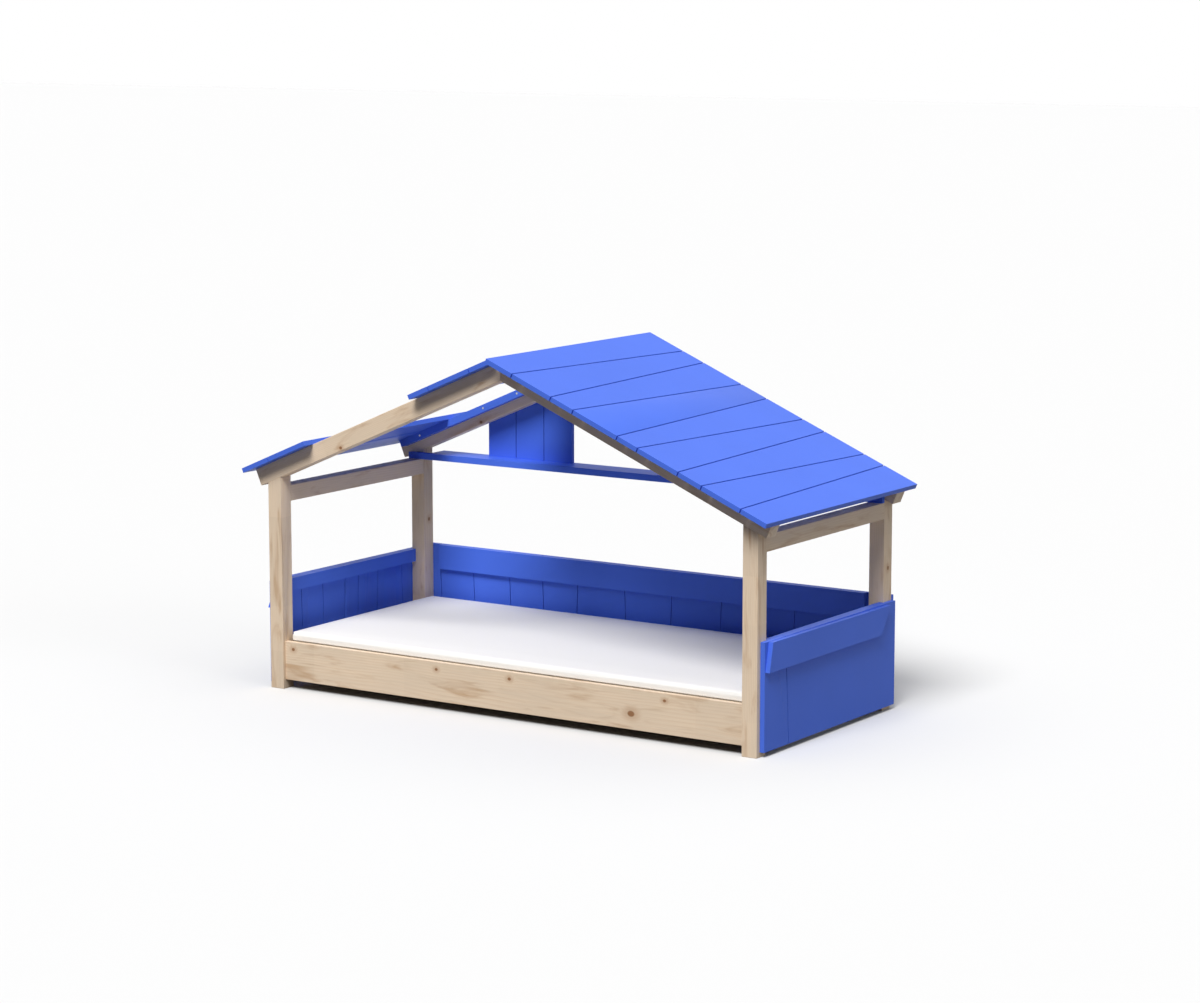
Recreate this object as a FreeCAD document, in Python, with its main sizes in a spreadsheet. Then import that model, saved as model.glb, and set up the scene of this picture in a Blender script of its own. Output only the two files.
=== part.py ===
import FreeCAD, Part
import Sketcher
import math
import os

# House frame bed: a low plank-sided bed under an open, crooked-boarded gable roof.
# Millimetres. The origin is on the floor, in the middle of the space that the whole bed takes up,
# with X along the bed, Y from the front to the back and Z up.

DIMENSIONS = (
    ("mattress_length", 2000, "along X"),
    ("mattress_depth", 900, "along Y"),
    ("mattress_height", 120, "at the edges"),
    ("mattress_crown", 4, "rise of the top at the middle"),
    ("mattress_round", 18, "rounding of the mattress edges"),
    ("mattress_play", 0.3, "mattress above the slats"),
    ("mattress_end_gap", 5, "mattress to the posts"),
    ("mattress_side_gap", 4, "mattress to the bed rails"),
    ("post", 60, "side of the square posts, width of the rafters and end beams"),
    ("ridge_height", 1324, "floor to the ridge of the roof boards"),
    ("roof_pitch", 23, "degrees, both slopes"),
    ("eave", 93, "roof boards past the posts, down the slope"),
    ("rafter", 64, "rafter depth, square to the slope"),
    ("rafter_setback", 22, "eave to the rafter's tail, down the slope"),
    ("roof_board", 18, "thickness of a roof board"),
    ("roof_seam", 4.5, "open joint between roof boards"),
    ("roof_back_overhang", 30, "roof boards past the back posts"),
    ("right_front_overhang", 88, "right roof boards past the front posts"),
    ("left_front_overhang", 50, "left roof boards past the front posts"),
    ("right_taper", 20, "lean of a right roof joint, half of it each way"),
    ("left_taper", 25, "lean of a left roof joint above the window, half of it each way"),
    ("eave_taper", 29, "lean of the left roof joint below the window, half of it each way"),
    ("right_board_1", 141, "mean width of a right roof board, counted from the ridge"),
    ("right_board_2", 139, "mean width"),
    ("right_board_3", 141, "mean width"),
    ("right_board_4", 159, "mean width"),
    ("right_board_5", 130, "mean width"),
    ("right_board_6", 139, "mean width"),
    ("right_board_7", 142, "mean width"),
    ("right_board_8", 129, "mean width"),
    ("right_board_9", 130, "mean width"),
    ("left_board_1", 142, "mean width of a left roof board, counted from the ridge"),
    ("left_board_2", 146, "mean width"),
    ("left_board_3", 120, "mean width"),
    ("roof_window", 522, "open stretch of the left slope, down the slope"),
    ("left_board_4", 159, "mean width, below the window"),
    ("left_board_5", 161, "mean width"),
    ("roof_batten_width", 45, "batten under the roof boards, along Y"),
    ("roof_batten", 27, "batten depth, square to the slope"),
    ("roof_batten_top", 25, "ridge to the batten's upper end, down the slope"),
    ("roof_batten_end", 35, "batten's lower end to the rafter's tail, down the slope"),
    ("end_beam", 60, "height of the upper end beams"),
    ("end_beam_drop", 11.9, "outer top edge of the posts to the end beams"),
    ("rail_bottom", 35, "floor to the underside of the bed rails"),
    ("rail_height", 147, "height of the bed rails"),
    ("rail", 20, "thickness of the bed rails"),
    ("front_rail_setback", 12, "front rail behind the posts' front"),
    ("cleat", 30, "side of the square cleats that carry the slats"),
    ("cleat_drop", 15, "rail's underside to the cleat's underside"),
    ("slat", 18, "thickness of a slat"),
    ("slat_width", 70, "width of a slat"),
    ("slat_count", 13, "slats in the base"),
    ("slat_play", 2, "slat's end to the rail"),
    ("slat_margin", 10, "first slat's edge to the posts' inner face"),
    ("panel_board", 18, "thickness of the panel boards, aprons and panel battens"),
    ("panel_seam", 3, "open joint between panel boards"),
    ("left_end_taper", 6, "lean of a left end panel joint, half of it each way"),
    ("right_end_taper", 14, "lean of the right end panel joint, half of it each way"),
    ("back_taper", 8, "lean of a back panel joint, half of it each way"),
    ("panel_bottom", 18, "floor to the panels"),
    ("end_panel_top", 404, "floor to the top of the end panels"),
    ("back_panel_top", 422, "floor to the top of the back panel"),
    ("end_panel_setback", 21, "end panels behind the posts' front"),
    ("left_end_board_1", 173, "mean width of a left end panel board, counted from the front"),
    ("left_end_board_2", 132, "mean width"),
    ("left_end_board_3", 131, "mean width"),
    ("left_end_board_4", 85, "mean width"),
    ("left_end_board_5", 126, "mean width"),
    ("left_end_board_6", 165, "mean width"),
    ("left_end_board_7", 127, "mean width"),
    ("right_end_board_1", 155, "mean width of a right end panel board, counted from the front"),
    ("right_end_board_2", 784, "mean width"),
    ("back_board_1", 100, "mean width of a back panel board, counted from the left"),
    ("back_board_2", 161, "mean width"),
    ("back_board_3", 175, "mean width"),
    ("back_board_4", 157, "mean width"),
    ("back_board_5", 157, "mean width"),
    ("back_board_6", 225, "mean width"),
    ("back_board_7", 206, "mean width"),
    ("back_board_8", 221, "mean width"),
    ("back_board_9", 158, "mean width"),
    ("back_board_10", 162, "mean width"),
    ("back_board_11", 203, "mean width"),
    ("back_board_12", 205, "mean width"),
    ("end_batten", 50, "height of the inner battens of the end panels"),
    ("back_batten", 97, "height of the inner batten of the back panel"),
    ("back_batten_inset", 41, "posts' inner face to the back batten's end"),
    ("apron", 105, "height of the aprons at their front end"),
    ("apron_lowering", 1, "top of the end panels to the aprons' front corner"),
    ("apron_drop", 4, "fall of the aprons' upper edge to the back"),
    ("left_apron_front", 32, "posts' front to the left apron's lower front corner"),
    ("right_apron_front", 24, "posts' front to the right apron's lower front corner"),
    ("apron_back", 67, "posts' back to the aprons' upper back corner"),
    ("left_apron_lean", 60, "slant of the left apron's front end"),
    ("right_apron_lean", 23, "slant of the right apron's front end"),
    ("apron_back_lean", 66, "slant of the aprons' back end"),
    ("sill", 25, "thickness of the back sill"),
    ("sill_lip", 18, "sill in front of the back posts"),
    ("sill_notch_play", 35, "posts' inner face to the sill's notch"),
    ("gable_start", 335, "left post's outer face to the gable boards"),
    ("gable_board_width", 131.5, "width of a gable board and one joint"),
    ("gable_board_count", 3, "boards in the back gable"),
    ("bracket", 28, "leg of the corner brackets"),
    ("bracket_height", 60, "height of the corner brackets"),
    ("bracket_plate", 2.5, "thickness of the corner brackets"),
    ("bracket_gap", 2, "top of the slats to the corner brackets"),
    ("fit", 0.05, "bore round a screw or dowel, on the radius"),
    ("screw", 4, "shank diameter of the wood screws"),
    ("screw_head", 8, "head diameter of the wood screws"),
    ("screw_bite", 12, "grip of a wood screw in the last piece that it reaches"),
    ("screw_spacing", 140, "between the screws of a wide board"),
    ("frame_bite", 35, "grip of a batten screw in the rafter"),
    ("rail_dowel", 8, "diameter of the rail dowels"),
    ("rail_dowel_length", 40, "length of the rail dowels"),
    ("frame_dowel", 12, "diameter of the rafter and ridge dowels"),
    ("frame_dowel_length", 70, "length of the rafter and ridge dowels"),
)

SIDES = {"left": -1, "right": 1}
ROWS = {"front": -1, "back": 1}

# The boards of each surface, in order. Their widths share out the length that they fill.
RIGHT_ROOF = [f"right_board_{number}" for number in range(1, 10)]
LEFT_ROOF = ["left_board_1", "left_board_2", "left_board_3", "roof_window", "left_board_4", "left_board_5"]
LEFT_END = [f"left_end_board_{number}" for number in range(1, 8)]
RIGHT_END = [f"right_end_board_{number}" for number in range(1, 3)]
BACK_PANEL = [f"back_board_{number}" for number in range(1, 13)]

# Which way each joint leans at the start of its boards.
RIGHT_ROOF_SIGNS = (-1, 1, -1, 1, -1, 1, -1, 1)
LEFT_ROOF_SIGNS = (-1, 1)
LEFT_END_SIGNS = (1, 1, -1, -1, -1, 1)
BACK_SIGNS = (1, 1, 1, 1, -1, 1, -1, -1, 1, -1, 1)

# Formulas on the sheet that several pieces share.
PITCH = "dims.roof_pitch"
INNER_LENGTH = "(dims.mattress_length + 2 * dims.mattress_end_gap)"
BED_LENGTH = f"({INNER_LENGTH} + 2 * dims.post)"
RAIL_GAP = "(dims.mattress_depth + 2 * dims.mattress_side_gap)"
BED_DEPTH = f"({RAIL_GAP} + 2 * dims.rail + dims.front_rail_setback)"
INNER_DEPTH = f"({BED_DEPTH} - 2 * dims.post)"
ROOF_SLOPE = f"({BED_LENGTH} / 2 / cos({PITCH}) + dims.eave)"
RAFTER_REACH = f"({ROOF_SLOPE} - dims.rafter_setback)"
BATTEN_REACH = f"({RAFTER_REACH} - dims.roof_batten_end)"
RAFTER_DEPTH = "(dims.roof_board + dims.rafter)"
END_PANEL_LENGTH = f"({BED_DEPTH} - dims.end_panel_setback)"


def roof_plane(x_formula, depth_formula):
    """Height of the plane a depth below the roof's outer face, x counted from the ridge outwards."""
    return f"(dims.ridge_height - ({x_formula}) * tan({PITCH}) - ({depth_formula}) / cos({PITCH}))"


POST_TOP = roof_plane(f"{BED_LENGTH} / 2", RAFTER_DEPTH)
BEAM_TOP = f"({POST_TOP} - dims.end_beam_drop)"

doc = FreeCAD.newDocument("house_frame_bed")


def fill_sheet():
    """Write every driving dimension to the sheet, with its alias and what it measures."""
    cells = doc.addObject("Spreadsheet::Sheet", "dims")
    for row, (alias, size, meaning) in enumerate(DIMENSIONS, start=1):
        cells.set(f"A{row}", alias)
        cells.set(f"B{row}", str(size))
        cells.set(f"C{row}", meaning)
        cells.setAlias(f"B{row}", alias)
    doc.recompute()
    return cells


sheet = fill_sheet()


def value(formula):
    """What a formula on the sheet comes to."""
    return float(sheet.evalExpression(formula))


# Planes and levels that several pieces share.
pitch = math.radians(value(PITCH))
half_length = value(BED_LENGTH) / 2
bed_depth = value(BED_DEPTH)
post = value("dims.post")
rail = value("dims.rail")
panel_board = value("dims.panel_board")
roof_board = value("dims.roof_board")
front_face = value(f"(dims.right_front_overhang - dims.roof_back_overhang - {BED_DEPTH}) / 2")
back_face = front_face + bed_depth
inner_end = half_length - post
front_inner = front_face + post
back_inner = back_face - post
front_rail_back = front_face + value("dims.front_rail_setback + dims.rail")
back_rail_front = back_face - rail
rail_bottom = value("dims.rail_bottom")
cleat_bottom = value("dims.rail_bottom + dims.cleat_drop")
slat_bottom = cleat_bottom + value("dims.cleat")
slat_top = slat_bottom + value("dims.slat")
mattress_bottom = slat_top + value("dims.mattress_play")
beam_top = value(BEAM_TOP)
beam_bottom = beam_top - value("dims.end_beam")
sill_top = beam_top + value("dims.sill")

X_AXIS = FreeCAD.Vector(1, 0, 0)
Y_AXIS = FreeCAD.Vector(0, 1, 0)
Z_AXIS = FreeCAD.Vector(0, 0, 1)

blanks = []
bores = []


def turned(x_axis, y_axis):
    """Rotation that carries local X and Y onto two given directions."""
    return FreeCAD.Rotation(x_axis, y_axis, x_axis.cross(y_axis), "XYZ")


def down_slope(side):
    """Unit vector from the ridge to the eaves."""
    return FreeCAD.Vector(side * math.cos(pitch), 0, -math.sin(pitch))


def into_slope(side):
    """Unit vector from the roof's outer face down into it."""
    return FreeCAD.Vector(-side * math.sin(pitch), 0, -math.cos(pitch))


def on_slope(side, along, across, depth):
    """Point at a distance down the slope, a Y and a depth below the roof's outer face."""
    ridge = FreeCAD.Vector(0, across, value("dims.ridge_height"))
    return ridge + down_slope(side) * along + into_slope(side) * depth


def inwards_from(face, side, thickness):
    """Lower X of a board that lies on the inner side of a face of the given side."""
    return min(face, face - side * thickness)


def bound(kind, name, formulas, position, rotation=FreeCAD.Rotation()):
    """Add a Part primitive, bind its sizes to the sheet and place it."""
    piece = doc.addObject(kind, name)
    for size, formula in formulas.items():
        piece.setExpression(size, formula)
    piece.Placement = FreeCAD.Placement(position, rotation)
    return piece


def box(name, length, width, height, position, rotation=FreeCAD.Rotation()):
    """A box whose three sizes are formulas."""
    sizes = {"Length": length, "Width": width, "Height": height}
    return bound("Part::Box", name, sizes, position, rotation)


def tapered(name, start, end, run, thickness, position, rotation):
    """A board whose two edges, held by start and end, differ from one end of its run to the other."""
    sizes = {
        "Ymin": run[0],
        "Ymax": run[1],
        "Xmin": start[0],
        "Xmax": start[1],
        "X2min": end[0],
        "X2max": end[1],
        "Zmin": thickness[0],
        "Zmax": thickness[1],
        "Z2min": thickness[0],
        "Z2max": thickness[1],
    }
    return bound("Part::Wedge", name, sizes, position, rotation)


def sloped_top(name, width, thickness, near_height, far_height, position, side):
    """An upright piece whose top slopes from its near face to its far face along X."""
    sizes = {
        "Xmin": "0",
        "X2min": "0",
        "Xmax": thickness,
        "X2max": thickness,
        "Ymin": "0",
        "Ymax": width,
        "Zmin": "0",
        "Z2min": "0",
        "Zmax": near_height,
        "Z2max": far_height,
    }
    return bound("Part::Wedge", name, sizes, position, turned(Y_AXIS * -side, X_AXIS * side))


def group(name, members):
    """Several separate solids that share one node."""
    compound = doc.addObject("Part::Compound", name)
    compound.Links = members
    return compound


def node(label, blank):
    """Note a finished blank and the name of its node."""
    blanks.append((label, blank))


def seams(aliases, length):
    """Formulas of the mean edges of boards that fill a length in proportion to their widths."""
    widths = [f"dims.{alias}" for alias in aliases]
    whole = " + ".join(widths)
    inner = [f"{length} * ({' + '.join(widths[:number])}) / ({whole})" for number in range(1, len(widths))]
    return ["0"] + inner + [length]


def leans(signs, taper):
    """Formulas of how far each joint of a row is off its mean place at the start of its boards."""
    return [f"({sign}) * {taper}" for sign in signs]


def leaning(edges, offsets, joint):
    """Formulas of the edges of each board at its start and at its end.

    Each joint is off its mean place by its offset at the start, and by as much the other way at the end.
    """
    boards = []
    for number, (low, high) in enumerate(zip(edges[:-1], edges[1:])):
        start = [low, high]
        end = [low, high]
        if number > 0:
            start[0] = f"{low} + {offsets[number - 1]} + {joint} / 2"
            end[0] = f"{low} - {offsets[number - 1]} + {joint} / 2"
        if number < len(offsets):
            start[1] = f"{high} + {offsets[number]} - {joint} / 2"
            end[1] = f"{high} - {offsets[number]} - {joint} / 2"
        boards.append((start, end))
    return boards


def build_posts():
    """Four posts whose tops are cut to the slope that the rafters lie on."""
    inner_height = roof_plane(f"{BED_LENGTH} / 2 - dims.post", RAFTER_DEPTH)
    for end, side in SIDES.items():
        for row, face in (("front", front_face), ("back", back_inner)):
            name = f"{row}_{end}_post"
            corner = FreeCAD.Vector(side * inner_end, face + (post if side > 0 else 0), 0)
            node(name, sloped_top(f"{name}_blank", "dims.post", "dims.post", inner_height, POST_TOP, corner, side))


def build_rafters():
    """Four rafters, plumb at the ridge and square at the tail."""
    for end, side in SIDES.items():
        for row, face in (("front", front_face), ("back", back_inner)):
            name = f"{row}_{end}_rafter"
            blank = tapered(
                f"{name}_blank",
                (f"dims.roof_board * tan({PITCH})", RAFTER_REACH),
                (f"{RAFTER_DEPTH} * tan({PITCH})", RAFTER_REACH),
                ("dims.roof_board", RAFTER_DEPTH),
                ("0", "dims.post"),
                FreeCAD.Vector(0, face + (0 if side > 0 else post), value("dims.ridge_height")),
                turned(down_slope(side), into_slope(side)),
            )
            node(name, blank)


def build_frame_rails():
    """Upper end beams, the four bed rails and the two cleats that carry the slats."""
    for end, side in SIDES.items():
        outer = side * half_length
        corner = FreeCAD.Vector(inwards_from(outer, side, post), front_inner, beam_bottom)
        node(f"{end}_end_beam", box(f"{end}_end_beam_blank", "dims.post", INNER_DEPTH, "dims.end_beam", corner))
        corner = FreeCAD.Vector(inwards_from(outer, side, rail), front_inner, rail_bottom)
        node(f"{end}_end_rail", box(f"{end}_end_rail_blank", "dims.rail", INNER_DEPTH, "dims.rail_height", corner))
    rail_fronts = {"front": front_rail_back - rail, "back": back_rail_front}
    cleat_fronts = {"front": front_rail_back, "back": back_rail_front - value("dims.cleat")}
    for row in ROWS:
        corner = FreeCAD.Vector(-inner_end, rail_fronts[row], rail_bottom)
        node(f"{row}_bed_rail", box(f"{row}_bed_rail_blank", INNER_LENGTH, "dims.rail", "dims.rail_height", corner))
        corner = FreeCAD.Vector(-inner_end, cleat_fronts[row], cleat_bottom)
        node(f"{row}_slat_cleat", box(f"{row}_slat_cleat_blank", INNER_LENGTH, "dims.cleat", "dims.cleat", corner))


def slat_starts():
    """X of the left edge of each slat."""
    first = value("dims.slat_margin") - inner_end
    last = inner_end - value("dims.slat_margin + dims.slat_width")
    count = int(value("dims.slat_count"))
    return [first + (last - first) * number / (count - 1) for number in range(count)]


def build_slats():
    """Slats across the bed, resting on the cleats."""
    length = f"{RAIL_GAP} - 2 * dims.slat_play"
    slats = []
    for number, start in enumerate(slat_starts(), start=1):
        corner = FreeCAD.Vector(start, front_rail_back + value("dims.slat_play"), slat_bottom)
        slats.append(box(f"slat_{number}", "dims.slat_width", length, "dims.slat", corner))
    node("bed_slats", group("bed_slats_blank", slats))


def mattress_section(x, inset, rise):
    """Closed outline across the mattress at x, drawn in all round by the inset."""
    radius = value("dims.mattress_round")
    middle = (front_rail_back + back_rail_front) / 2
    half = value("dims.mattress_depth") / 2 - inset
    low = mattress_bottom + inset
    high = mattress_bottom + value("dims.mattress_height") - inset
    slant = radius * (1 - math.sqrt(0.5))

    def point(across, height):
        return FreeCAD.Vector(x, middle + across, height)

    def arc(*through):
        return Part.Arc(*through).toShape()

    return Part.Wire([
        Part.makeLine(point(-half + radius, low), point(half - radius, low)),
        arc(point(half - radius, low), point(half - slant, low + slant), point(half, low + radius)),
        Part.makeLine(point(half, low + radius), point(half, high - radius)),
        arc(point(half, high - radius), point(half - slant, high - slant), point(half - radius, high)),
        arc(point(half - radius, high), point(0, high + rise), point(-half + radius, high)),
        arc(point(-half + radius, high), point(-half + slant, high - slant), point(-half, high - radius)),
        Part.makeLine(point(-half, high - radius), point(-half, low + radius)),
        arc(point(-half, low + radius), point(-half + slant, low + slant), point(-half + radius, low)),
    ])


def build_mattress():
    """Foam mattress with rounded, drawn-in edges and a slightly crowned top."""
    half = value("dims.mattress_length") / 2
    radius = value("dims.mattress_round")
    crown = value("dims.mattress_crown")
    slant = radius * (1 - math.sqrt(0.5))
    # Distance from the end, how far the outline is drawn in there and how far the crown has risen.
    stations = (
        (0, radius * 0.9, crown * 0.1),
        (slant, slant, crown * 0.25),
        (radius, 0, crown * 0.4),
        (half / 2, 0, crown),
    )
    left = [mattress_section(-half + inset, drawn, rise) for inset, drawn, rise in stations]
    right = [mattress_section(half - inset, drawn, rise) for inset, drawn, rise in reversed(stations)]
    mattress = doc.addObject("Part::Feature", "mattress_blank")
    mattress.Shape = Part.makeLoft(left + right, True, True)
    node("mattress", mattress)


def roof_boards(end, side, boards, overhang, depth):
    """Lay the tapered boards of one slope, counted from the ridge."""
    run = ("0", f"{BED_DEPTH} + {overhang} + dims.roof_back_overhang")
    corner = on_slope(side, 0, front_face - value(overhang), depth)
    for number, (start, tip) in enumerate(boards, start=1):
        name = f"{end}_roof_board_{number}"
        rotation = turned(down_slope(side), Y_AXIS)
        node(name, tapered(f"{name}_blank", start, tip, run, ("0", "dims.roof_board"), corner, rotation))


def build_roof():
    """Nine boards on the right slope; on the left three above the roof window and two below it."""
    offsets = leans(RIGHT_ROOF_SIGNS, "dims.right_taper")
    right = leaning(seams(RIGHT_ROOF, ROOF_SLOPE), offsets, "dims.roof_seam")
    roof_boards("right", 1, right, "dims.right_front_overhang", roof_board)

    ridge_gap = f"2 * dims.roof_board * tan({PITCH}) + dims.roof_seam"
    edges = seams(LEFT_ROOF, ROOF_SLOPE)
    left = leaning([ridge_gap] + edges[1:4], leans(LEFT_ROOF_SIGNS, "dims.left_taper"), "dims.roof_seam")
    left += leaning(edges[4:], ["dims.eave_taper"], "dims.roof_seam")
    roof_boards("left", -1, left, "dims.left_front_overhang", 0)


def batten_middle(row):
    """Y of the middle of a roof batten, which lies against the inner side of its rafters."""
    inner = {"front": front_inner, "back": back_inner}[row]
    return inner - ROWS[row] * value("dims.roof_batten_width") / 2


def build_roof_battens():
    """Two battens under each slope, which the roof boards are screwed to."""
    for end, side in SIDES.items():
        depth = roof_board + (value("dims.roof_batten") if side > 0 else 0)
        for row in ROWS:
            across = batten_middle(row) - value("dims.roof_batten_width") / 2
            name = f"{row}_{end}_roof_batten"
            blank = box(
                f"{name}_blank",
                f"{BATTEN_REACH} - dims.roof_batten_top",
                "dims.roof_batten_width",
                "dims.roof_batten",
                on_slope(side, value("dims.roof_batten_top"), across, depth),
                turned(down_slope(side), Y_AXIS),
            )
            node(name, blank)


def build_back_gable():
    """Sill on the end beams, notched round the back posts, and the gable boards that stand on it."""
    plank = box(
        "back_sill_plank",
        BED_LENGTH,
        "dims.sill_lip + dims.post + dims.roof_back_overhang",
        "dims.sill",
        FreeCAD.Vector(-half_length, back_inner - value("dims.sill_lip"), beam_top),
    )
    notch_length = value("dims.post + dims.sill_notch_play")
    notches = []
    for end, side in SIDES.items():
        notches.append(box(
            f"sill_{end}_notch",
            "dims.post + dims.sill_notch_play",
            "dims.post + dims.roof_back_overhang",
            "dims.sill",
            FreeCAD.Vector(inwards_from(side * half_length, side, notch_length), back_inner, beam_top),
        ))
    notched = doc.addObject("Part::Cut", "back_sill_blank")
    notched.Base = plank
    notched.Tool = group("sill_notches", notches)
    node("back_sill", notched)

    foot = f"{BEAM_TOP} - dims.sill"
    for board in range(int(value("dims.gable_board_count"))):
        name = f"gable_board_{board + 1}"
        near = f"{BED_LENGTH} / 2 - dims.gable_start - {board} * dims.gable_board_width"
        far = f"{near} - dims.gable_board_width + dims.panel_seam"
        blank = sloped_top(
            f"{name}_blank",
            "dims.gable_board_width - dims.panel_seam",
            "dims.panel_board",
            f"{roof_plane(near, 'dims.roof_board')} - {foot}",
            f"{roof_plane(far, 'dims.roof_board')} - {foot}",
            FreeCAD.Vector(-value(near), back_face + panel_board, sill_top),
            1,
        )
        node(name, blank)


def build_end_panels():
    """Boards, inner batten and outer apron of the two end panels."""
    panel_low = value("dims.panel_bottom")
    batten_low = value("dims.end_panel_top - dims.end_batten")
    left = leaning(seams(LEFT_END, END_PANEL_LENGTH), leans(LEFT_END_SIGNS, "dims.left_end_taper"), "dims.panel_seam")
    right = leaning(seams(RIGHT_END, END_PANEL_LENGTH), ["dims.right_end_taper"], "dims.panel_seam")
    for end, layout in (("left", left), ("right", right)):
        side = SIDES[end]
        outer = side * half_length
        corner = FreeCAD.Vector(
            inwards_from(outer, -side, panel_board), front_face + value("dims.end_panel_setback"), panel_low
        )
        boards = []
        for number, (start, tip) in enumerate(layout, start=1):
            boards.append(tapered(
                f"{end}_panel_board_{number}",
                start,
                tip,
                ("0", "dims.end_panel_top - dims.panel_bottom"),
                ("0", "dims.panel_board"),
                corner,
                turned(Y_AXIS, Z_AXIS),
            ))
        node(f"{end}_panel_boards", group(f"{end}_panel_boards_blank", boards))
        corner = FreeCAD.Vector(inwards_from(outer, side, panel_board), front_inner, batten_low)
        batten = box(f"{end}_panel_batten_blank", "dims.panel_board", INNER_DEPTH, "dims.end_batten", corner)
        node(f"{end}_panel_batten", batten)
        node(f"{end}_panel_apron", apron(end, side))


def apron(end, side):
    """Crooked outer board of an end panel: a sketched outline, padded to the board's thickness."""
    top = "dims.end_panel_top - dims.apron_lowering"
    back = f"{BED_DEPTH} - dims.apron_back"
    corners = (
        (f"dims.{end}_apron_front", f"{top} - dims.apron"),
        (f"{back} - dims.apron_back_lean", f"{top} - dims.apron"),
        (back, f"{top} - dims.apron_drop"),
        (f"dims.{end}_apron_front + dims.{end}_apron_lean", top),
    )
    drawn = [FreeCAD.Vector(value(along), value(height)) for along, height in corners]
    body = doc.addObject("PartDesign::Body", f"{end}_panel_apron_blank")
    sketch = body.newObject("Sketcher::SketchObject", f"{end}_apron_outline")
    plane = [feature for feature in body.Origin.OriginFeatures if feature.Role == "YZ_Plane"][0]
    sketch.AttachmentSupport = [(plane, "")]
    sketch.MapMode = "FlatFace"
    for index, corner in enumerate(drawn):
        sketch.addGeometry(Part.LineSegment(corner, drawn[(index + 1) % len(drawn)]), False)
    for index in range(len(drawn)):
        sketch.addConstraint(Sketcher.Constraint("Coincident", index, 2, (index + 1) % len(drawn), 1))
    for index, (formulas, corner) in enumerate(zip(corners, drawn)):
        for direction, formula, size in zip(("DistanceX", "DistanceY"), formulas, corner):
            number = sketch.addConstraint(Sketcher.Constraint(direction, -1, 1, index, 1, size))
            sketch.setExpression(f"Constraints[{number}]", formula)
    pad = body.newObject("PartDesign::Pad", f"{end}_apron_pad")
    pad.Profile = sketch
    pad.setExpression("Length", "dims.panel_board")
    outer = side * (half_length + panel_board)
    body.Placement.Base = FreeCAD.Vector(inwards_from(outer, -side, panel_board), front_face, 0)
    return body


def build_back_panel():
    """Boards behind the back posts and the batten on their inner face."""
    layout = leaning(seams(BACK_PANEL, BED_LENGTH), leans(BACK_SIGNS, "dims.back_taper"), "dims.panel_seam")
    boards = []
    for number, (start, tip) in enumerate(layout, start=1):
        boards.append(tapered(
            f"back_panel_board_{number}",
            start,
            tip,
            ("0", "dims.back_panel_top - dims.panel_bottom"),
            ("0", "dims.panel_board"),
            FreeCAD.Vector(-half_length, back_face + panel_board, value("dims.panel_bottom")),
            turned(X_AXIS, Z_AXIS),
        ))
    node("back_panel_boards", group("back_panel_boards_blank", boards))
    corner = FreeCAD.Vector(
        value("dims.back_batten_inset") - inner_end,
        back_face - panel_board,
        value("dims.back_panel_top - dims.back_batten"),
    )
    length = f"{INNER_LENGTH} - 2 * dims.back_batten_inset"
    node("back_panel_batten", box("back_panel_batten_blank", length, "dims.panel_board", "dims.back_batten", corner))


def screw(head, direction, length):
    """Countersunk wood screw, head flush with the surface it is driven into, and its bore."""
    solids = []
    for play in (0, value("dims.fit")):
        shank = value("dims.screw") / 2 + play
        rim = value("dims.screw_head") / 2 + play
        sink = rim - shank
        cone = Part.makeCone(rim, shank, sink, head, direction)
        stem = Part.makeCylinder(shank, length + play - sink, head + direction * sink, direction)
        solids.append(cone.fuse(stem))
    return solids


def peg(middle, direction, diameter, length):
    """Plain dowel about its middle, and its bore."""
    solids = []
    for play in (0, value("dims.fit")):
        start = middle - direction * (length / 2 + play)
        solids.append(Part.makeCylinder(diameter / 2 + play, length + 2 * play, start, direction))
    return solids


def fasteners(label, placed):
    """One node of like fasteners; what they bore is kept for the pieces that they pass through."""
    feature = doc.addObject("Part::Feature", label)
    feature.Shape = Part.makeCompound([solid for solid, bore in placed])
    bores.extend(bore for solid, bore in placed)
    return feature


def spread(low, high):
    """Fixing points across a board: two, or more at an even spacing across a wide one."""
    width = high - low
    spacing = value("dims.screw_spacing")
    margin = 0.3 * min(width, spacing)
    count = max(2, round(width / spacing))
    step = (width - 2 * margin) / (count - 1)
    return [low + margin + step * number for number in range(count)]


def spans(aliases, length):
    """Mean edges of each board in a row."""
    edges = [value(edge) for edge in seams(aliases, length)]
    return list(zip(edges[:-1], edges[1:]))


def rail_corners():
    """Inner corners between the bed rails and the posts.

    Each holds the corner, the direction along the rail and the direction away from its face.
    """
    corners = []
    for side in SIDES.values():
        for row, rail_face, post_face in ((-1, front_rail_back, front_inner), (1, back_rail_front, back_inner)):
            corners.append((FreeCAD.Vector(side * inner_end, rail_face, 0), X_AXIS * -side, Y_AXIS * -row))
            corners.append((FreeCAD.Vector(side * (half_length - rail), post_face, 0), Y_AXIS * -row, X_AXIS * -side))
    return corners


def bracket_leg(corner, along, away):
    """One flat leg of a bracket, as a box from the corner."""
    height = value("dims.bracket_height")
    far = corner + along * value("dims.bracket") + away * value("dims.bracket_plate")
    low = FreeCAD.Vector(min(corner.x, far.x), min(corner.y, far.y), corner.z)
    return Part.makeBox(abs(far.x - corner.x), abs(far.y - corner.y), height, low)


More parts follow.
